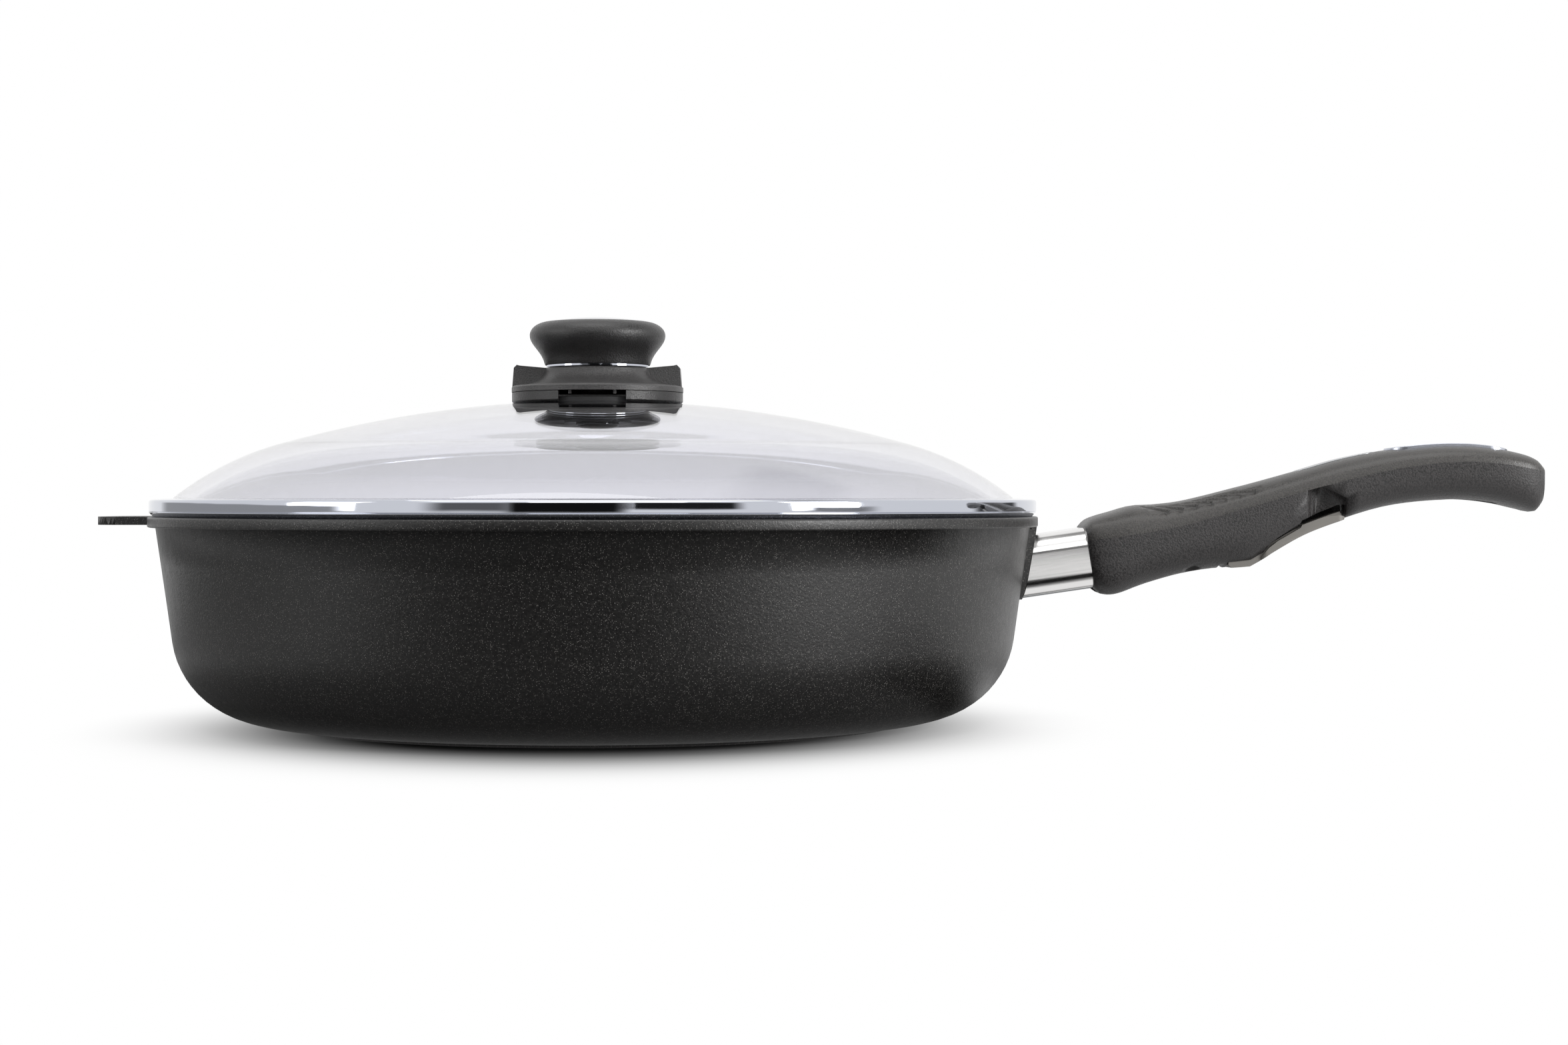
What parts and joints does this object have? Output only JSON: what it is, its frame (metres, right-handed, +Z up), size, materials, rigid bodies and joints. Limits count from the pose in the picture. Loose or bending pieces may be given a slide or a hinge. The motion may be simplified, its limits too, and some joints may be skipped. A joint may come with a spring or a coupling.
{
  "type": "deep frying pan",
  "caption": "Deep cast frying pan with helper tab, pull-off handle with release trigger, and a domed glass lid with a vented knob.",
  "frame": {"origin": "centre of the pan's flat base face, on the pan's axis", "axes": "+Z up along the pan's axis, +X along the handle, helper tab on -X"},
  "size_m": [0.479, 0.294, 0.1347],
  "materials": {
    "pan_coating": "satin dark coating with fine bright flecks on cast aluminium",
    "base_steel": "turned steel",
    "lid_glass": "clear tempered glass, faintly grey",
    "polished_steel": "mirror-polished stainless steel",
    "seal_rubber": "matte silicone",
    "knob_plastic": "fine textured black phenolic",
    "insert_brass": "turned",
    "satin_steel": "satin",
    "ferrule_steel": "satin-polished stainless steel",
    "grip_lower_plastic": "coarse textured black phenolic",
    "grip_upper_plastic": "fine textured black phenolic",
    "trigger_plastic": "satin warm grey"
  },
  "bodies": {
    "pan": {"pan_body": "pan_coating", "base_plate": "base_steel"},
    "lid": {"lid_glass": "lid_glass", "lid_rim": "polished_steel", "rim_seal": "seal_rubber", "knob_gasket": "seal_rubber", "knob_base": "knob_plastic", "neck_ring": "polished_steel", "knob_grip": "knob_plastic", "knob_disc": "polished_steel", "knob_insert": "insert_brass", "under_seal": "seal_rubber", "under_disc": "satin_steel", "under_washer": "satin_steel", "knob_screw": "satin_steel"},
    "vent": {"vent_collar": "knob_plastic"},
    "handle": {"ferrule": "ferrule_steel", "bracket": "satin_steel", "bracket_rivets": "satin_steel", "latch_leaf": "satin_steel", "leaf_rivet": "satin_steel", "grip_lower": "grip_lower_plastic", "grip_upper": "grip_upper_plastic", "shell_screws": "satin_steel", "slot_inlay": "polished_steel", "top_strip": "satin_steel", "trigger_pin": "satin_steel"},
    "trigger": {"trigger": "trigger_plastic"}
  },
  "joints": [
    {"name": "lid_lift", "type": "slide", "parent": "pan", "child": "lid", "axis": [0, 0, 1], "range_m": [0, 0.15]},
    {"name": "vent_turn", "type": "hinge", "parent": "lid", "child": "vent", "pos_m": [0, 0, 0.11], "axis": [0, 0, 1], "range_deg": [0, 90]},
    {"name": "handle_release", "type": "slide", "parent": "pan", "child": "handle", "axis": [0.9895, 0, 0.1444], "range_m": [0, 0.06], "deforming": ["latch_leaf"]},
    {"name": "trigger_squeeze", "type": "hinge", "parent": "handle", "child": "trigger", "pos_m": [0.21288, 0, 0.05717], "axis": [0, -1, 0], "range_deg": [0, 3], "stiffness_Nm_per_rad": 0.6, "springref_deg": -5.73, "deforming": ["latch_leaf"]}
  ]
}
